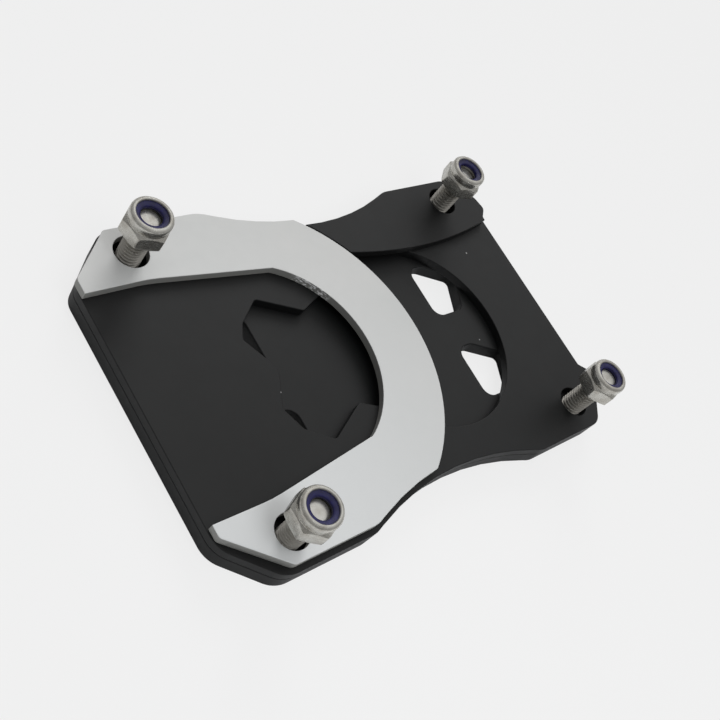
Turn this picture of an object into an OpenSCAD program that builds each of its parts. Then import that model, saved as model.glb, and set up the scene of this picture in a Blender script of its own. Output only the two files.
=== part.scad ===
// Foot extension for a motorcycle side stand, as laid together before fitting.
// A slotted base plate and a middle plate with a foot-shaped pocket lie on each other.
// A silver arch and a black bar clamp the stand's foot down into the pocket.
// Four countersunk screws stand up through the corners, each with a nylon lock nut.
// The front is towards -X, the right side towards -Y, and the base rests on z = 0.

/* [Plates] */
// Length from the front edge to the rear edge
plate_l = 130.3; // [126:0.1:140]
// Half width of the front end
front_half_w = 43.2; // [41.5:0.1:46]
// How much nearer the middle the right side runs at the rear end than at the front
rear_in_right = 0; // [0:0.1:1.2]
// How much nearer the middle the left side runs at the rear end than at the front
rear_in_left = 4.6; // [1:0.1:5]
// Thickness of the base plate
base_t = 4; // [4:0.1:6]
// Thickness of the middle plate
middle_t = 2.5; // [2:0.1:4]
// Size of the cut across the front right corner
front_cut_right = 11.4; // [8:0.1:13]
// Size of the cut across the front left corner
front_cut_left = 11.6; // [8:0.1:11.6]
// Where the right waist begins, ahead of the middle
waist_front_right = 29.3; // [27.5:0.1:32]
// Where the left waist begins, ahead of the middle
waist_front_left = 31; // [28:0.5:34]
// Where the right waist ends, behind the middle
waist_rear_right = 31.7; // [31:0.1:35]
// Where the left waist ends, behind the middle
waist_rear_left = 31; // [30:0.5:35]
// Radius of the right waist
waist_r_right = 83; // [66:1:84]
// Radius of the left waist
waist_r_left = 66; // [60:1:68]
// Distance from the middle to the meeting point of the right waist's tangents
waist_tip_right = 32.2; // [32:0.1:34]
// Distance from the middle to the meeting point of the left waist's tangents
waist_tip_left = 28.3; // [28:0.1:31]
// How far the rear ears reach past the rear edge
ear_reach = 2.6; // [1.5:0.1:4]
// Distance from the middle to the tip of each ear
ear_y = 28.8; // [27:0.1:30]

/* [Foot pocket] */
// Radius of the pocket's round heel
heel_r = 26.6; // [25:0.1:27.5]
// Centre of the heel behind the middle
heel_x = 16.4; // [15.5:0.1:17]
// Distance of the heel's centre to the right of the middle
heel_y = 3; // [2:0.1:4]
// Distance of the toe's tips ahead of the middle
toe_x = 34.6; // [33:0.1:37]
// Distance of each toe tip from the middle
toe_half = 9.3; // [8:0.1:10.5]
// Distance of the cheeks ahead of the middle
cheek_x = 25.7; // [24.5:0.1:27]
// Half width of the pocket over the cheeks
cheek_half = 19.2; // [18:0.1:20.5]
// Distance of the teeth ahead of the middle
tooth_x = 14.2; // [13:0.1:16]
// Half width of the pocket between the teeth
tooth_half = 13.1; // [12:0.1:14]
// Distance of the cheeks' and teeth's axis to the right of the middle
pocket_shift = 1; // [0:0.1:2]

/* [Base slots] */
// Distance from the middle to the straight side of each slot
slot_x = 28.8; // [28:0.1:31]
// Width of a slot along the plate
slot_w = 14.6; // [13:0.1:15.5]
// Length of a slot across the plate
slot_l = 15.3; // [14:0.1:18]
// Distance between the two slots of a pair, centre to centre
slot_pitch = 25.5; // [24:0.1:27]

/* [Clamp pieces] */
// Thickness of the arch and of the clamp bar
clamp_t = 2.2; // [1.8:0.1:4]
// Outer radius of the arch
arch_r = 44.5; // [43.5:0.1:45.5]
// Radius of the arch's mouth
mouth_r = 26.5; // [25:0.1:27.5]
// Width of each of the arch's legs at the front edge
leg_w = 14.3; // [13.6:0.1:15]
// Centre of both arcs ahead of the middle
arch_x = 30.8; // [30:0.1:31.5]
// How far the arch's sides stand in from the plates
arch_inset = 1; // [0.4:0.1:1.5]
// Size of the cut across the arch's front right corner
arch_cut_right = 11.3; // [9:0.1:12]
// Size of the cut across the arch's front left corner
arch_cut_left = 10.4; // [9:0.1:12]
// How far the right leg ends behind the front edge
arch_leg_back = 0.4; // [0:0.1:0.8]
// Distance from the arch's middle to the meeting point of its right waist's tangents
arch_tip_right = 31.2; // [31:0.1:33]
// Distance from the arch's middle to the meeting point of its left waist's tangents
arch_tip_left = 29.1; // [28.5:0.1:31]
// How far the arch lies to the left of the middle
arch_shift = 0.4; // [0:0.1:0.4]
// Gap between the arch and the clamp bar
bar_gap = 0.3; // [0.2:0.1:1]
// Distance from the middle to the bar's inner edge
bar_y = 20.2; // [19.5:0.1:21.5]
// Radius of the bar's inner edge
bar_r = 127; // [110:1:160]
// How far the bar's ear stands ahead of the plates' ear
bar_back = 1.8; // [0.5:0.1:2.5]
// How much nearer the middle the bar's ear stands than the plates' ear
bar_ear_in = 2; // [0:0.1:2.5]

/* [Screws and nuts] */
// Thread diameter
screw_d = 6; // [5:0.1:6.5]
// Length of a screw, with its head
screw_l = 20; // [18:0.5:25]
// Diameter of a countersunk head
head_d = 12; // [11:0.1:12.4]
// Width of the socket across its flats
socket_w = 4; // [3:0.1:4.5]
// Depth of the socket
socket_depth = 2.3; // [1.5:0.1:2.6]
// How deep the heads sit above the underside
head_sunk = 0.7; // [0.3:0.1:0.9]
// Width of a nut across its flats
nut_w = 10; // [9.8:0.1:11]
// Height of a nut's hexagon
nut_hex_h = 4.4; // [3.5:0.1:5]
// Height of a whole nut
nut_h = 6.8; // [6.5:0.1:7.5]
// Radius of the opening in a nut's rolled rim
rim_r = 3.75; // [3.5:0.05:3.9]
// Height of the nuts above the underside
nut_z = 16.1; // [14:0.1:18]
// How much higher the rear left nut stands
rear_left_lift = 0.5; // [0:0.1:1.5]
// How much lower the rear right nut stands
rear_right_drop = 0.4; // [0:0.1:1]
// Distance from the front edge to the front left screw
front_left_inset = 15.2; // [14:0.1:17]
// Distance from the front edge to the front right screw
front_right_inset = 15.7; // [14:0.1:17]
// Distance from the rear edge to the rear left screw
rear_left_inset = 14.3; // [13:0.1:17]
// Distance from the rear edge to the rear right screw
rear_right_inset = 11.7; // [11:0.1:14]
// Distance from the side edges to the front screws
front_side_inset = 7.4; // [6.9:0.1:8]
// Distance from the side edge to the rear left screw
rear_left_side_inset = 6.8; // [6.6:0.1:8]
// Distance from the side edge to the rear right screw
rear_right_side_inset = 7.6; // [6.6:0.1:8]
// Radial clearance of the screws in the base plate
base_clear = 0.3; // [0.2:0.05:0.5]
// Radial clearance of the screws in the upper pieces
top_clear = 1.25; // [1:0.05:1.5]
// How far the upper holes lie off the screws, towards the rear and the middle
hole_shift = 0.8; // [0:0.05:0.8]

/* [Hidden] */
$fn = 64;
eps = 0.02;
thread_gap = 0.04;

// Heights of the layers
middle_z = base_t;
top_z = base_t + middle_t;

// Half widths of the rear end
rear_half_right = front_half_w - rear_in_right;
rear_half_left = front_half_w - rear_in_left;

// Places along the plate
front_x = -(plate_l + ear_reach) / 2;
rear_x = front_x + plate_l;
waist_x = 1.5;

// How far behind the waist's end the bar's inner edge lies nearest the middle
bar_low = 4;

// Corner radii of the outlines
front_r = 5;
shoulder_r = 12;
rear_shoulder_r = 7;
ear_r = 2;
arch_corner_r = 1.5;
slot_r = 3;
pocket_r = 1.2;
arc_step = 5;

// Screw places: front left, front right, rear left, rear right
screw_at = [
    [front_x + front_left_inset, front_half_w - front_side_inset],
    [front_x + front_right_inset, front_side_inset - front_half_w],
    [rear_x - rear_left_inset, rear_half_left - rear_left_side_inset],
    [rear_x - rear_right_inset, rear_right_side_inset - rear_half_right]
];
nut_at_z = [nut_z, nut_z, nut_z + rear_left_lift, nut_z - rear_right_drop];
nut_turn = [5, 24, 10, 44];
hole_way = [[0.3, 0.1], [0.9, 0.6], [0.9, 0.2], [1, 0.5]];

// Screw and nut proportions
screw_r = screw_d / 2;
head_r = head_d / 2;
head_land = 0.3;
tip_bevel = 0.65;
nut_bevel = 0.35;
rim_lip = 0.6;
rim_roll = 0.55;
rim_dish = 0.35;
ring_r = 4.2;
ring_h = 1.3;
collar_r = nut_w / 2 - 0.05;
collar_neck = 0.2;

// A point list for a closed outline whose corners [x, y, radius] are rounded by arcs
function unit(v) = v / norm(v);
function rounded(corners) = [
    for (i = [0 : len(corners) - 1])
        let (n = len(corners), q = corners[i], here = [q[0], q[1]],
            p = corners[(i + n - 1) % n], s = corners[(i + 1) % n],
            u = unit([p[0], p[1]] - here), w = unit([s[0], s[1]] - here),
            half = acos(u * w) / 2, turn = 90 - half,
            centre = here + unit(u + w) * q[2] / sin(half),
            start = here + u * q[2] / tan(half) - centre,
            way = sign(cross(-u, w)), steps = max(1, ceil(2 * turn / arc_step)))
        each q[2] == 0 ? [here] : [
            for (k = [0 : steps])
                let (a = way * 2 * turn * k / steps)
                centre + [start[0] * cos(a) - start[1] * sin(a), start[0] * sin(a) + start[1] * cos(a)]
        ]
];

// Corners of one rear end, from the waist to the rear edge; side is -1 right and 1 left
function rear_corners(side, half_w, edge_x, tip_y) = [
    [side < 0 ? waist_rear_right : waist_rear_left, side * half_w, rear_shoulder_r],
    [edge_x - 6.6, side * half_w, front_r],
    [edge_x + ear_reach - 1, side * (tip_y + 4.4), 2 * ear_r],
    [edge_x + ear_reach, side * tip_y, ear_r],
    [edge_x, side * (tip_y - 2.6), ear_r / 2]
];

// Corners of one front end, from the front edge at edge_x to the waist
function front_corners(side, half_w, edge_x, cut_l, cut, waist_from, corner_r) = [
    [edge_x, side * (half_w - cut), corner_r],
    [edge_x + cut_l, side * half_w, corner_r],
    [-waist_from, side * half_w, side < 0 ? rear_shoulder_r : shoulder_r]
];

// The arch's outline, as far back as the waist; its round rear end is cut from it
arch_w = front_half_w - arch_inset;
cut_slant = 1.12;
arch_right = concat(
    front_corners(
        -1, arch_w, front_x + arch_leg_back, cut_slant * arch_cut_right, arch_cut_right, waist_front_right, arch_corner_r
    ),
    [[waist_x, -arch_tip_right, waist_r_right], [waist_rear_right, -arch_w, 0]]
);
arch_left = concat(
    front_corners(1, arch_w, front_x, cut_slant * arch_cut_left, arch_cut_left, waist_front_right, arch_corner_r),
    [[waist_x, arch_tip_left, waist_r_left], [waist_rear_left, arch_w, 0]]
);

function reversed(list) = [for (i = [len(list) - 1 : -1 : 0]) list[i]];

// The whole outline: right side from front to rear, then left side back to the front
function outline(front_w, edge_x, tip_y) = rounded(concat(
    front_corners(-1, front_w, front_x, front_cut_right, front_cut_right, waist_front_right, 1.5 * front_r),
    [[waist_x, -waist_tip_right, waist_r_right]],
    rear_corners(-1, rear_half_right, edge_x, tip_y),
    reversed(rear_corners(1, rear_half_left, edge_x, tip_y)),
    [[waist_x, waist_tip_left, waist_r_left]],
    reversed(front_corners(1, front_w, front_x, front_cut_left, front_cut_left, waist_front_left, front_r))
));

// Toe end of the pocket, whose last two corners lie inside the round heel
toe_dent = 4.8;
pocket_toe = rounded([
    [3, cheek_half, 0],
    [-tooth_x, tooth_half - pocket_shift, pocket_r],
    [-cheek_x, cheek_half - pocket_shift, pocket_r],
    [-toe_x + 2.2, toe_half + 3.8, pocket_r],
    [-toe_x, toe_half, pocket_r],
    [-toe_x + toe_dent, 0, 3 * pocket_r],
    [-toe_x, -toe_half, pocket_r],
    [-toe_x + 2.4, -toe_half - 6, pocket_r],
    [-cheek_x, -cheek_half - pocket_shift, pocket_r],
    [-tooth_x, -tooth_half - pocket_shift, pocket_r],
    [1, -cheek_half - 2.8, 0]
]);

// One drain slot, drawn from the corner at its straight side
slot_taper = 4.4;
slot_fall = 5.4;
slot_slope_w = 9.3;
slot_outline = rounded([
    [0, 0, slot_r],
    [slot_w - slot_taper, 0, slot_r],
    [slot_w, slot_l - slot_fall, slot_r / 2],
    [slot_w - slot_slope_w, slot_l, slot_r],
    [0, slot_l, slot_r]
]);

module plate(z, t) {
    translate([0, 0, z])
        linear_extrude(t)
            polygon(outline(front_half_w, rear_x, ear_y));
}

module at_screws(which, shift) {
    for (i = which)
        translate([screw_at[i][0] + shift * hole_way[i][0], screw_at[i][1] + shift * hole_way[i][1], 0])
            children();
}

module upper_hole() {
    cylinder(r = screw_r + top_clear, h = 2 * (top_z + clamp_t));
}

module countersink() {
    cone_z = head_sunk + head_land;
    mouth = head_r + base_clear;
    translate([0, 0, -eps])
        cylinder(r = mouth, h = cone_z - base_clear + eps);
    translate([0, 0, cone_z - base_clear])
        cylinder(r1 = mouth, r2 = screw_r + base_clear, h = head_r - screw_r);
    cylinder(r = screw_r + base_clear, h = 2 * base_t);
}

module slot(side, row) {
    mirror([side < 0 ? 1 : 0, 0, 0])
        translate([slot_x + (side < 0 ? 1 : -1), row * slot_pitch / 2 - slot_l / 2 - 4, -eps])
            linear_extrude(base_t + 2 * eps)
                polygon(slot_outline);
}

module base_plate() {
    color([0.17, 0.17, 0.17])
        difference() {
            plate(0, base_t);
            for (side = [-1, 1])
                for (row = [-1, 1])
                    slot(side, row);
            at_screws([0 : 3], 0)
                countersink();
        }
}

module middle_plate() {
    color([0.2, 0.2, 0.2])
        difference() {
            plate(middle_z, middle_t);
            translate([0, 0, middle_z - eps])
                linear_extrude(middle_t + 2 * eps)
                    union() {
                        polygon(pocket_toe);
                        translate([heel_x, -heel_y])
                            circle(r = heel_r, $fn = 180);
                    }
            at_screws([0 : 3], hole_shift)
                upper_hole();
        }
}

// The mouth of the arch: a round end, and two legs that turn parallel near the front
leg_bend_r = 40;
mouth_x = 1 - arch_x;
mouth_turn = 63;
mouth_half = arch_w - leg_w;
leg_bend = 16;
mouth_outline = rounded(concat(
    [for (a = [-mouth_turn : 3 : mouth_turn]) [mouth_x + mouth_r * cos(a), mouth_r * sin(a), 0]],
    [
        [front_x + leg_bend, mouth_half, leg_bend_r],
        [front_x - 1, mouth_half, 0],
        [front_x - 1, -mouth_half, 0],
        [front_x + leg_bend, -mouth_half, leg_bend_r]
    ]
));

// What the round rear end leaves of the arch, from a half circle forwards
arch_reach = concat(
    [for (a = [-90 : 3 : 90]) [arch_r * cos(a) - arch_x, arch_r * sin(a)]],
    [[front_x - 1, arch_r], [front_x - 1, -arch_r]]
);

module clamp_arch() {
    color([0.78, 0.78, 0.77])
        difference() {
            translate([0, arch_shift, top_z])
                linear_extrude(clamp_t)
                    difference() {
                        intersection() {
                            polygon(rounded(concat(arch_right, reversed(arch_left))));
                            polygon(arch_reach);
                        }
                        polygon(mouth_outline);
                    }
            at_screws([0, 1], hole_shift)
                upper_hole();
        }
}

module clamp_bar() {
    color([0.19, 0.19, 0.19])
        difference() {
            translate([0, 0, top_z])
                linear_extrude(clamp_t)
                    difference() {
                        intersection() {
                            polygon(outline(front_half_w, rear_x - bar_back, ear_y - bar_ear_in));
                            translate([waist_rear_left + bar_low, bar_y + bar_r])
                                circle(r = bar_r, $fn = 360);
                            translate([-waist_front_left / 2, 0])
                                square([plate_l, front_half_w]);
                        }
                        translate([-arch_x, arch_shift])
                            circle(r = arch_r + bar_gap, $fn = 180);
                    }
            at_screws([2], hole_shift)
                upper_hole();
        }
}

// A countersunk screw with its head down, its face at head_sunk and its tip up
module screw(i) {
    cone_z = head_land + head_r - screw_r;
    color([0.72, 0.71, 0.68])
        translate([screw_at[i][0], screw_at[i][1], head_sunk])
            difference() {
                rotate_extrude()
                    polygon([
                        [0, 0],
                        [head_r - eps, 0],
                        [head_r - eps, head_land],
                        [screw_r, cone_z - eps],
                        [screw_r, screw_l - tip_bevel],
                        [screw_r - tip_bevel, screw_l],
                        [0, screw_l]
                    ]);
                translate([0, 0, -eps])
                    cylinder(d = socket_w / cos(30), h = socket_depth, $fn = 6);
            }
}

// A hexagon with bevelled corners, and a round collar rolled in over the nylon ring
module lock_nut(i) {
    corner_r = nut_w / 2 / cos(30);
    color([0.7, 0.68, 0.64])
        translate([screw_at[i][0], screw_at[i][1], nut_at_z[i]])
            difference() {
                union() {
                    intersection() {
                        rotate(nut_turn[i] + 30)
                            cylinder(r = corner_r, h = nut_hex_h, $fn = 6);
                        rotate_extrude()
                            polygon([
                                [0, 0],
                                [corner_r - 2 * nut_bevel, 0],
                                [corner_r, nut_bevel],
                                [corner_r, nut_hex_h - nut_bevel],
                                [corner_r - 2 * nut_bevel, nut_hex_h],
                                [0, nut_hex_h]
                            ]);
                    }
                    rotate_extrude()
                        polygon(rounded([
                            [0, nut_hex_h / 2, 0],
                            [collar_r - collar_neck, nut_hex_h / 2, 0],
                            [collar_r - collar_neck, nut_hex_h + collar_neck, 0],
                            [collar_r, nut_hex_h + 2 * collar_neck, 0],
                            [collar_r, nut_h, rim_roll],
                            [rim_r + rim_dish, nut_h, rim_dish / 3],
                            [rim_r, nut_h - rim_dish, 0],
                            [0, nut_h - rim_dish, 0]
                        ]));
                }
                translate([0, 0, -eps])
                    cylinder(r = screw_r + thread_gap, h = nut_h);
                translate([0, 0, nut_h - rim_lip - ring_h])
                    cylinder(r = ring_r, h = ring_h);
                translate([0, 0, nut_h - rim_lip - ring_h])
                    cylinder(r = rim_r, h = nut_h);
            }
}

module nylon_ring(i) {
    color([0.13, 0.13, 0.4])
        translate([screw_at[i][0], screw_at[i][1], nut_at_z[i] + nut_h - rim_lip - ring_h])
            difference() {
                cylinder(r = ring_r, h = ring_h);
                translate([0, 0, -eps])
                    cylinder(r = screw_r + thread_gap, h = ring_h + 2 * eps);
            }
}

base_plate();
middle_plate();
clamp_arch();
clamp_bar();
screw(0);  // screw_front_left
screw(1);  // screw_front_right
screw(2);  // screw_rear_left
screw(3);  // screw_rear_right
lock_nut(0);  // lock_nut_front_left
lock_nut(1);  // lock_nut_front_right
lock_nut(2);  // lock_nut_rear_left
lock_nut(3);  // lock_nut_rear_right
nylon_ring(0);  // nylon_ring_front_left
nylon_ring(1);  // nylon_ring_front_right
nylon_ring(2);  // nylon_ring_rear_left
nylon_ring(3);  // nylon_ring_rear_right
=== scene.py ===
import math

import bmesh
import bpy
import numpy as np
from mathutils import Matrix, Vector

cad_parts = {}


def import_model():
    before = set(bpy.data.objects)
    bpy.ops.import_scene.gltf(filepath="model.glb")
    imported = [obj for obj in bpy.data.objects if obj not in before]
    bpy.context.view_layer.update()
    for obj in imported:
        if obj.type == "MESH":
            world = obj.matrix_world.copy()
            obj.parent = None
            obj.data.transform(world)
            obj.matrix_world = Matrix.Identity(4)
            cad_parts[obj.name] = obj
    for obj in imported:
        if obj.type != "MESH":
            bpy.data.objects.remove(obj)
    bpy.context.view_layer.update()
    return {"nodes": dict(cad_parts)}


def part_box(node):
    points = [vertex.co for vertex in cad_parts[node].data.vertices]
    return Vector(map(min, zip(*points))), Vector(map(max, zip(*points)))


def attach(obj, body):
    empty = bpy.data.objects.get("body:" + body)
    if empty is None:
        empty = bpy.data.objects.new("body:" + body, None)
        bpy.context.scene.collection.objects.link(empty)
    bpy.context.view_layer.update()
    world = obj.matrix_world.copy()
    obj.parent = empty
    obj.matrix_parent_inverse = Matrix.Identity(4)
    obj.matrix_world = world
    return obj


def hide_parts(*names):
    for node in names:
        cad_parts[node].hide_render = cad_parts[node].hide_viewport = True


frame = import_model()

MM = 0.001


# Places and sizes, in millimetres and degrees

CORNERS = ("front_left", "front_right", "rear_left", "rear_right")
NUT_TURN = {"front_left": 11, "front_right": 56, "rear_left": 12, "rear_right": 44}
NUT_FLATS = 10.0
SOCKET_FLATS = 4.0
THREAD_R, THREAD_PITCH, THREAD_DEPTH = 3.0, 1.0, 0.56

ARCH_MID_Z = sum(corner.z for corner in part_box("clamp_arch")) / 2 / MM
ARCH_CENTRE = (-29.8, 0.4, ARCH_MID_Z)
ARCH_INNER_R = 26.56
# Where nicks in the arch's inner rim are painted pure white: part wear, part painted highlight
GLINT_NICKS_AT = (-9.4, 17.1, ARCH_MID_Z)
# The point towards which light is painted into the silver arch's colour: painted light at one tip
PAINTED_LIGHT_TIP = (-50, -38, ARCH_MID_Z)
# Height in millimetres below which the screws' colour is darker
DARKER_BELOW = 17
# Dust specks on the black plates, then two spots of painted highlight along the middle plate's pocket edge:
# x, y, z and radius
DUST_AND_GLINT = ((49.3, 15.5, 6.5, 0.3), (36.9, -8.9, 4.0, 0.2), (-32.8, -5.5, 6.5, 0.2), (-33.0, -6.4, 6.5, 0.16))


# Material nodes

def material(name, color, roughness, metallic=0.0, specular=0.5):
    """A Principled material, with its nodes at hand for the texture work that follows."""
    mat = bpy.data.materials.new(name)
    mat.use_nodes = True
    tree = mat.node_tree
    shader = tree.nodes["Principled BSDF"]
    shader.inputs["Base Color"].default_value = (*color, 1)
    shader.inputs["Roughness"].default_value = roughness
    shader.inputs["Metallic"].default_value = metallic
    shader.inputs["Specular IOR Level"].default_value = specular
    return mat, tree, shader


def node(tree, kind, inputs=None, **settings):
    n = tree.nodes.new(kind)
    for key, value in settings.items():
        setattr(n, key, value)
    for key, value in (inputs or {}).items():
        n.inputs[key].default_value = value
    return n


def coordinates(tree, output="Object"):
    """Object is a place on the part, Normal the way its surface faces, Generated a way out into the world."""
    return node(tree, "ShaderNodeTexCoord").outputs[output]


def height(tree, vector):
    parts = node(tree, "ShaderNodeSeparateXYZ")
    tree.links.new(vector, parts.inputs[0])
    return parts.outputs["Z"]


def noise(tree, size_mm, detail=3.0, rough=0.5, stretch=(1, 1, 1)):
    """Noise in the object's own space, with its largest spots about size_mm across."""
    scale = node(tree, "ShaderNodeVectorMath", operation="MULTIPLY")
    scale.inputs[1].default_value = [1 / MM / size_mm / s for s in stretch]
    tree.links.new(coordinates(tree), scale.inputs[0])
    n = node(tree, "ShaderNodeTexNoise", {"Scale": 1.0, "Detail": detail, "Roughness": rough})
    tree.links.new(scale.outputs[0], n.inputs["Vector"])
    return n.outputs["Fac"]


def spread(tree, value, low, high, out_low=0, out_high=1):
    """The value between low and high, carried over to between out_low and out_high."""
    ends = {"From Min": low, "From Max": high, "To Min": out_low, "To Max": out_high}
    n = node(tree, "ShaderNodeMapRange", ends)
    tree.links.new(value, n.inputs["Value"])
    return n.outputs["Result"]


def near(tree, point, core_mm, edge_mm):
    """1 within core_mm of a point of the part, falling to 0 at edge_mm."""
    away = node(tree, "ShaderNodeVectorMath", operation="DISTANCE")
    away.inputs[1].default_value = [c * MM for c in point]
    tree.links.new(coordinates(tree), away.inputs[0])
    return spread(tree, away.outputs["Value"], core_mm * MM, edge_mm * MM, 1, 0)


def combined(tree, operation, a, b):
    n = node(tree, "ShaderNodeMath", operation=operation)
    tree.links.new(a, n.inputs[0])
    tree.links.new(b, n.inputs[1])
    return n.outputs[0]


def over(tree, factor, under, color):
    """The colour laid where factor is 1 over another colour, or over what a node gives."""
    n = node(tree, "ShaderNodeMix", data_type="RGBA")
    n.inputs["B"].default_value = (*color, 1)
    if isinstance(under, tuple):
        n.inputs["A"].default_value = (*under, 1)
    else:
        tree.links.new(under, n.inputs["A"])
    tree.links.new(factor, n.inputs["Factor"])
    return n.outputs["Result"]


def bump(tree, shader, relief, distance_mm, strength):
    n = node(tree, "ShaderNodeBump", {"Strength": strength, "Distance": distance_mm * MM})
    tree.links.new(relief, n.inputs["Height"])
    tree.links.new(n.outputs["Normal"], shader.inputs["Normal"])


# Materials

def black_anodised(name, dark, light, roughness):
    """Bead-blasted and dyed aluminium: a fine grain, cloudy tone, dust, grey spots of painted highlight at
    one edge, and faint handling marks.
    """
    mat, tree, shader = material(name, dark, roughness, 0.0, 0.34)
    clouds = noise(tree, 34, 4.0, 0.55)
    tone = over(tree, spread(tree, clouds, 0.3, 0.7), dark, light)
    dust_and_glint = None
    # The first two spots are dust; the last two are a painted highlight along an edge
    for *point, radius in DUST_AND_GLINT:
        spot = near(tree, point, 0.4 * radius, radius)
        dust_and_glint = spot if dust_and_glint is None else combined(tree, "MAXIMUM", dust_and_glint, spot)
    dust_and_glint_tone = (0.4, 0.4, 0.4)
    tree.links.new(over(tree, dust_and_glint, tone, dust_and_glint_tone), shader.inputs["Base Color"])
    marks = noise(tree, 5, 5.0, 0.6)
    gloss = spread(tree, marks, 0.3, 0.7, roughness - 0.02, roughness + 0.02)
    tree.links.new(gloss, shader.inputs["Roughness"])
    bump(tree, shader, noise(tree, 0.28, 2.0, 0.6), 0.02, 0.5)
    return mat


def silver_anodised(name, dark, light, roughness):
    """A satin face with painted light towards one tip, over upright walls given painted shade, with nicks
    along the inner rim painted pure white as wear and painted highlight.
    """
    mat, tree, shader = material(name, light, roughness, 0.25)
    clouds = noise(tree, 22, 3.0, 0.5)
    tone = over(tree, spread(tree, clouds, 0.35, 0.65), dark, light)
    painted_light_tone, painted_wall_shade, nick_glint_white = (0.61, 0.62, 0.62), (0.30, 0.30, 0.285), (1.0, 1.0, 1.0)
    # Painted light: the arch's colour grows lighter towards one tip
    tone = over(tree, near(tree, PAINTED_LIGHT_TIP, 8, 85), tone, painted_light_tone)
    # Painted shade: the upright walls and cut edges get a darker colour than the top face
    shaded_walls = spread(tree, height(tree, coordinates(tree, "Normal")), 0.2, 0.5, 1, 0)
    tone = over(tree, shaded_walls, tone, painted_wall_shade)
    # Nicks along the inner rim, painted pure white: part wear, part painted highlight
    along = near(tree, GLINT_NICKS_AT, 3.4, 5.8)
    rim = near(tree, ARCH_CENTRE, ARCH_INNER_R, ARCH_INNER_R + 0.06)
    nicks = spread(tree, noise(tree, 0.9, 2.0, 0.5, (1, 1, 0.5)), 0.50, 0.56)
    nicks_and_glint = combined(tree, "MULTIPLY", combined(tree, "MULTIPLY", along, rim), nicks)
    tree.links.new(over(tree, nicks_and_glint, tone, nick_glint_white), shader.inputs["Base Color"])
    gloss = spread(tree, noise(tree, 3, 4.0, 0.6), 0.3, 0.7, roughness - 0.03, roughness + 0.03)
    tree.links.new(gloss, shader.inputs["Roughness"])
    bump(tree, shader, noise(tree, 0.22, 2.0, 0.6), 0.012, 0.5)
    return mat


def stainless(name, color, dull, roughness, darker_below_mm=0):
    """Turned steel with a dull film, its colour darker below a given height in millimetres."""
    mat, tree, shader = material(name, color, roughness, 0.85)
    film = noise(tree, 2.6, 4.0, 0.6)
    tone = over(tree, spread(tree, film, 0.38, 0.68), color, dull)
    # The colour is darker below the given height
    if darker_below_mm:
        lower_part = spread(tree, height(tree, coordinates(tree)), (darker_below_mm - 1) * MM, darker_below_mm * MM, 1, 0)
        lower_tone = (0.36, 0.345, 0.315)
        tone = over(tree, lower_part, tone, lower_tone)
    tree.links.new(tone, shader.inputs["Base Color"])
    turned = noise(tree, 0.5, 3.0, 0.6, (5, 5, 0.5))
    gloss = spread(tree, turned, 0.3, 0.7, roughness - 0.05, roughness + 0.1)
    tree.links.new(gloss, shader.inputs["Roughness"])
    bump(tree, shader, turned, 0.01, 0.4)
    return mat


def nylon(name, dark, light, roughness):
    mat, tree, shader = material(name, light, roughness, 0.0, 0.4)
    cloudy = spread(tree, noise(tree, 1.2, 3.0), 0.35, 0.65)
    tree.links.new(over(tree, cloudy, dark, light), shader.inputs["Base Color"])
    shader.inputs["Subsurface Weight"].default_value = 0.1
    shader.inputs["Subsurface Radius"].default_value = (0.3 * MM, 0.3 * MM, 0.6 * MM)
    bump(tree, shader, noise(tree, 0.4, 2.0), 0.01, 0.4)
    return mat


BLACK = black_anodised("black_plate_top", (0.0040, 0.0042, 0.0043), (0.0050, 0.0053, 0.0054), 0.52)
SILVER = silver_anodised("silver_plate_satin", (0.515, 0.52, 0.51), (0.535, 0.535, 0.525), 0.6)
SCREW = stainless("screw_stainless", (0.62, 0.61, 0.57), (0.46, 0.44, 0.40), 0.30, DARKER_BELOW)
NUT = stainless("nut_stainless", (0.56, 0.55, 0.51), (0.42, 0.40, 0.36), 0.26)
NYLON = nylon("ring_nylon", (0.007, 0.006, 0.042), (0.012, 0.011, 0.072), 0.35)


# Meshes

def add_object(name, data):
    obj = bpy.data.objects.new(name, data)
    bpy.context.scene.collection.objects.link(obj)
    return obj


def smooth(obj, angle):
    """Smooth shading, but for the edges that turn by more than angle degrees."""
    mesh = obj.data
    mesh.polygons.foreach_set("use_smooth", [True] * len(mesh.polygons))
    mesh.set_sharp_from_angle(angle=math.radians(angle))
    mesh.update()


def bevel(obj, width_mm, segments, angle):
    edge = obj.modifiers.new("edge", "BEVEL")
    edge.width = width_mm * MM
    edge.segments = segments
    edge.limit_method = "ANGLE"
    edge.angle_limit = math.radians(angle)
    return edge


def apply_modifiers(obj):
    bpy.context.view_layer.update()
    shown = obj.evaluated_get(bpy.context.evaluated_depsgraph_get())
    done = bpy.data.meshes.new_from_object(shown)
    obj.modifiers.clear()
    old = obj.data
    obj.data = done
    bpy.data.meshes.remove(old)


def take_place(obj, replaced):
    """The piece stands for a CAD node: it hangs under the root body, and the node is hidden."""
    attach(obj, "root")
    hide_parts(replaced)


def plate(name, mat, edge_mm):
    """The CAD plate again, with its cut edges broken by a small rounded chamfer."""
    mesh = bpy.data.meshes.new(name + "_looks")
    bm = bmesh.new()
    bm.from_mesh(frame["nodes"][name].data)
    bmesh.ops.remove_doubles(bm, verts=bm.verts, dist=0.002 * MM)
    bmesh.ops.dissolve_limit(bm, angle_limit=math.radians(0.4), verts=bm.verts, edges=bm.edges)
    bmesh.ops.recalc_face_normals(bm, faces=bm.faces)
    bm.to_mesh(mesh)
    bm.free()
    obj = add_object(name + "_looks", mesh)
    edge = bevel(obj, edge_mm, 3, 35)
    edge.use_clamp_overlap = False
    edge.miter_outer = "MITER_ARC"
    apply_modifiers(obj)
    obj.data.materials.clear()
    obj.data.materials.append(mat)
    smooth(obj, 40)
    even = obj.modifiers.new("even", "WEIGHTED_NORMAL")
    even.keep_sharp = True
    even.weight = 100
    apply_modifiers(obj)
    take_place(obj, name)


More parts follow.
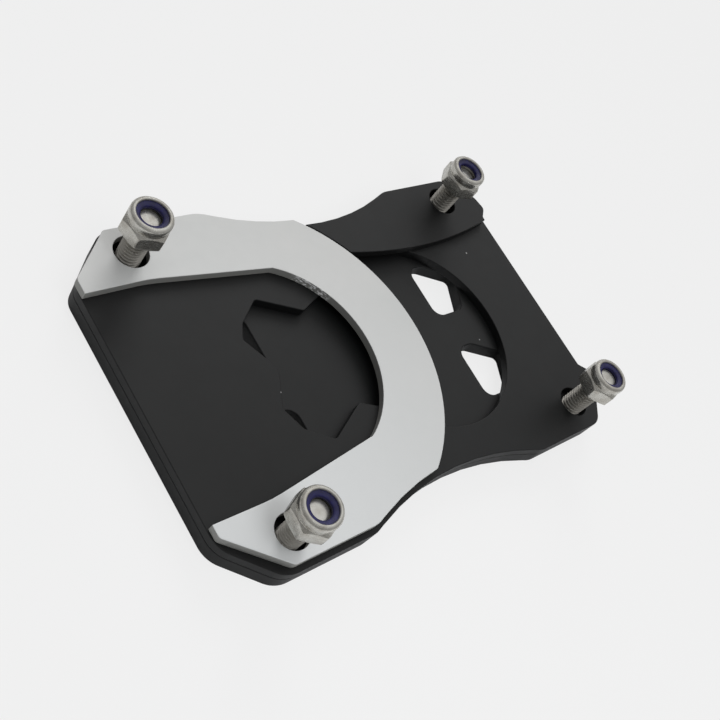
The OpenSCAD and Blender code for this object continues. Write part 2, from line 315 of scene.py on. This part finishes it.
def skin(name, rows, start=None, end=None):
    """A closed mesh over rows of points: a point closes each end, or else the two ends join."""
    rows = np.asarray(rows, float)
    count, columns = rows.shape[:2]
    verts = rows.reshape(-1, 3).tolist()
    faces = []
    bands = count if start is None else count - 1
    for i in range(bands):
        a, b = i * columns, (i + 1) % count * columns
        for k in range(columns):
            m = (k + 1) % columns
            faces.append((a + k, a + m, b + m, b + k))
    if start is not None:
        for point, row, flip in ((start, 0, True), (end, count - 1, False)):
            verts.append(list(point))
            tip = len(verts) - 1
            for k in range(columns):
                here, after = row * columns + k, row * columns + (k + 1) % columns
                faces.append((tip, after, here) if flip else (tip, here, after))
    mesh = bpy.data.meshes.new(name)
    mesh.from_pydata(verts, [], faces)
    mesh.validate()
    return add_object(name, mesh)


def circle(columns):
    return np.arange(columns) * 2 * np.pi / columns


def rings(profile, base_z, turn, centre):
    """Rows of points for a profile of radii and heights over base_z. Either may differ by column."""
    x, y = np.cos(turn), np.sin(turn)
    flat = np.zeros_like(turn)
    return [
        np.stack([centre[0] + MM * radius * x, centre[1] + MM * radius * y, MM * (base_z + z) + flat], 1)
        for radius, z in profile
    ]


def hexagon(turn, flats, offset=0):
    """Radius of a hexagon, flats wide across its flats, whose first flat faces offset."""
    part = np.mod(turn - offset + np.pi / 6, np.pi / 3) - np.pi / 6
    return flats / 2 / np.cos(part)


def stand(node_name):
    """Where a round CAD node stands: its centre in metres, and its foot, top and radius in millimetres."""
    low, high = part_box(node_name)
    centre = ((low.x + high.x) / 2, (low.y + high.y) / 2)
    return centre, low.z / MM, high.z / MM, (high.x - low.x) / 2 / MM


# Fasteners

def thread(foot, start, stop, tip, turn):
    """Profile of a cut thread that runs in over its first turn and is chamfered towards the tip."""
    rows_per_turn, run_in, crest, flank = 11, 1.2, 0.16, 0.6
    chamfer_r, chamfer_rise = 2.5, 0.8
    profile = []
    for z in np.arange(start, stop, THREAD_PITCH / rows_per_turn):
        phase = np.mod((z - foot) / THREAD_PITCH - turn / (2 * np.pi), 1)
        off_crest = np.abs(phase - 0.5) * 2
        cut = THREAD_DEPTH * np.clip((off_crest - crest) / flank, 0, 1) * min(1, (z - start) / run_in)
        profile.append((np.minimum(THREAD_R - cut, chamfer_r + (tip - z) * chamfer_rise), z))
    return profile


def screw(corner):
    """A countersunk screw with a hexagon socket, from its head in the underside to its domed tip."""
    name = "screw_" + corner
    centre, foot, tip, head_r = stand(name)
    turn = circle(60)
    socket = hexagon(turn, SOCKET_FLATS)
    head = (
        (0.6, 2.55),
        (socket, 2.25),
        (socket, 0.18),
        (np.maximum(socket, 2.25), 0),
        (head_r - 0.2, 0),
        (head_r - 0.06, 0.06),
        (head_r, 0.2),
        (head_r, 0.3),
        (THREAD_R + 0.2, 3.08),
        (THREAD_R, 3.4),
    )
    dome = ((2.47, 0), (2.3, 0.06), (1.8, 0.14), (1.0, 0.21))
    rows = rings(head, foot, turn, centre)
    rows += rings(thread(foot, foot + 3.5, tip - 0.02, tip, turn), 0, turn, centre)
    rows += rings(dome, tip, turn, centre)
    obj = skin(name + "_looks", rows, (*centre, MM * (foot + 2.7)), (*centre, MM * (tip + 0.23)))
    obj.data.materials.append(SCREW)
    smooth(obj, 38)
    take_place(obj, name)


def lock_nut(corner):
    """A chamfered hexagon, then a neck and a collar whose rim is rolled over the nylon ring."""
    name = "lock_nut_" + corner
    centre, *_ = stand("screw_" + corner)
    _, foot, top, _ = stand(name)
    turn = circle(120)
    hex_h, face_r, corner_r, chamfer_rise = 4.1, 4.6, 5.68, 0.56
    bore, rim_r, collar, roll = 3.04, 3.75, 5.0, 0.95
    ring_seat_r, ring_seat_h = 4.2, 1.9
    side = np.minimum(hexagon(turn, NUT_FLATS, math.radians(NUT_TURN[corner])), corner_r)
    drop = (side - face_r) * chamfer_rise
    body = (
        (bore, 0.35),
        (bore + 0.35, 0),
        (face_r, 0),
        (side, drop * 0.7),
        (side, hex_h - drop),
        (face_r + 0.22, hex_h + 0.02),
        (collar - 0.22, hex_h + 0.1),
        (collar - 0.18, hex_h + 0.3),
        (collar - 0.03, hex_h + 0.6),
    )
    rolled = [(collar, -roll - 0.2)]
    for a in np.radians(np.arange(0, 91, 9)):
        rolled.append((collar - roll + roll * np.cos(a), -roll + roll * np.sin(a)))
    inside = (
        (rim_r + 0.2, -0.03),
        (rim_r + 0.1, -0.1),
        (rim_r + 0.03, -0.22),
        (rim_r, -0.36),
        (rim_r, -0.6),
        (ring_seat_r, -0.6),
        (ring_seat_r, -ring_seat_h),
        (bore, -ring_seat_h),
    )
    rows = rings(body, foot, turn, centre)
    rows += rings(rolled, top, turn, centre)
    rows += rings(inside, top, turn, centre)
    obj = skin(name + "_looks", rows)
    bevel(obj, 0.06, 2, 28)
    apply_modifiers(obj)
    obj.data.materials.append(NUT)
    smooth(obj, 36)
    take_place(obj, name)


def nylon_ring(corner):
    """The ring inside the nut's rim, dished towards the screw's tip."""
    name = "nylon_ring_" + corner
    centre, foot, top, outer = stand(name)
    bore = 2.56
    turn = circle(72)
    bottom = ((bore, 0.1), (bore + 0.1, 0), (outer, 0))
    dish = (
        (outer, 0),
        (3.66, 0),
        (3.5, -0.03),
        (3.0, -0.16),
        (bore + 0.08, -0.3),
        (bore, -0.45),
    )
    obj = skin(name + "_looks", rings(bottom, foot, turn, centre) + rings(dish, top, turn, centre))
    obj.data.materials.append(NYLON)
    smooth(obj, 50)
    take_place(obj, name)


plate("base_plate", BLACK, 0.35)
plate("middle_plate", BLACK, 0.22)
plate("clamp_arch", SILVER, 0.16)
plate("clamp_bar", BLACK, 0.2)
for corner in CORNERS:
    screw(corner)
    lock_nut(corner)
    nylon_ring(corner)


# Stage, light and camera

def pick_shader(tree, factor, off, on):
    n = node(tree, "ShaderNodeMixShader")
    tree.links.new(factor, n.inputs["Fac"])
    tree.links.new(off, n.inputs[1])
    tree.links.new(on, n.inputs[2])
    return n.outputs[0]


def seen_directly(tree):
    """1 for rays from the camera and those that glass sends on, and 1 for those that metal reflects."""
    path = node(tree, "ShaderNodeLightPath")
    direct = combined(tree, "MAXIMUM", path.outputs["Is Camera Ray"], path.outputs["Is Transmission Ray"])
    return direct, path.outputs["Is Glossy Ray"]


def floor():
    """A pale floor that keeps a trace of the object's shadow."""
    half, tone, kept_shadow = 3.0, 0.874, 0.1
    mesh = bpy.data.meshes.new("floor")
    corners = [(x * half, y * half, 0) for x, y in ((-1, -1), (1, -1), (1, 1), (-1, 1))]
    mesh.from_pydata(corners, [], [(0, 1, 2, 3)])
    obj = add_object("floor", mesh)
    obj.location.z = -0.02 * MM
    mat, tree, shader = material("floor_pale", (0.8, 0.8, 0.8), 0.8, 0.0, 0.0)
    glow = node(tree, "ShaderNodeEmission", {"Color": (tone, tone, tone, 1), "Strength": 1.0})
    flat = node(tree, "ShaderNodeMixShader", {"Fac": 1 - kept_shadow})
    tree.links.new(shader.outputs[0], flat.inputs[1])
    tree.links.new(glow.outputs["Emission"], flat.inputs[2])
    direct, _ = seen_directly(tree)
    surface = pick_shader(tree, direct, shader.outputs[0], flat.outputs[0])
    tree.links.new(surface, tree.nodes["Material Output"].inputs["Surface"])
    mesh.materials.append(mat)


def world():
    """A grey room, brightest high up behind the object, in front of a plain pale backdrop."""
    w = bpy.data.worlds.new("studio")
    bpy.context.scene.world = w
    w.use_nodes = True
    tree = w.node_tree
    tree.nodes.clear()
    aim = node(tree, "ShaderNodeVectorMath", operation="DOT_PRODUCT")
    aim.inputs[1].default_value = Vector((0.45, 0.15, 0.88)).normalized()
    tree.links.new(coordinates(tree, "Generated"), aim.inputs[0])
    middle_at = 0.72

    def room(away, middle, towards, strength):
        shade = node(tree, "ShaderNodeValToRGB")
        stops = shade.color_ramp.elements
        stops.new(middle_at)
        for stop, level in zip(stops, (away, middle, towards)):
            stop.color = (level, level, level, 1)
        tree.links.new(aim.outputs["Value"], shade.inputs["Fac"])
        light = node(tree, "ShaderNodeBackground", {"Strength": strength})
        tree.links.new(shade.outputs["Color"], light.inputs["Color"])
        return light.outputs[0]

    lit = room(0.12, 0.46, 1.0, 1.0)
    mirrored = room(0.3, 0.5, 1.0, 0.91)
    tone = 0.871
    backdrop = node(tree, "ShaderNodeBackground", {"Color": (tone, tone, tone, 1), "Strength": 1.0})
    direct, glossy = seen_directly(tree)
    around = pick_shader(tree, glossy, lit, mirrored)
    surface = pick_shader(tree, direct, around, backdrop.outputs[0])
    tree.links.new(surface, node(tree, "ShaderNodeOutputWorld").inputs["Surface"])


def lamp(name, place, size, watts, color=(1, 1, 1), diffuse=True, mirrored=True):
    """A round lamp that faces the object, for matt surfaces, for reflections or for both."""
    light = bpy.data.lights.new(name, "AREA")
    light.shape = "DISK"
    light.size = size
    light.energy = watts
    light.color = color
    obj = add_object(name, light)
    obj.location = place
    obj.rotation_euler = (-Vector(place)).to_track_quat("-Z", "Y").to_euler()
    obj.visible_diffuse = diffuse
    obj.visible_glossy = mirrored


def camera():
    """The photograph's view. The axes and place were fitted to the object's outline in it."""
    focal_px, frame_px = 1050, 720
    right = Vector((0.7077, -0.5041, 0.4949))
    up = Vector((0.2408, 0.8308, 0.5020))
    back = Vector((-0.6643, -0.2361, 0.7094))
    place = Vector((-0.1747, -0.0639, 0.1856))
    cam = bpy.data.cameras.new("camera")
    cam.sensor_width = 36
    cam.lens = cam.sensor_width * focal_px / frame_px
    cam.clip_start = 0.01
    obj = add_object("camera", cam)
    turn = Matrix((right, up, back)).transposed()
    obj.matrix_world = Matrix.Translation(place) @ turn.normalized().to_4x4()
    bpy.context.scene.camera = obj


KEY_PLACE, KEY_SIZE = (1.39, 1.66, 1.25), 1.2

floor()
world()
lamp("key", KEY_PLACE, KEY_SIZE, 29.5, mirrored=False)
lamp("glint", KEY_PLACE, KEY_SIZE, 17.0, diffuse=False)
lamp("fill", (-0.06, -0.16, 0.30), 0.2, 0.5, (0.96, 0.98, 1.0), mirrored=False)
camera()
bpy.context.scene.view_settings.view_transform = "Standard"
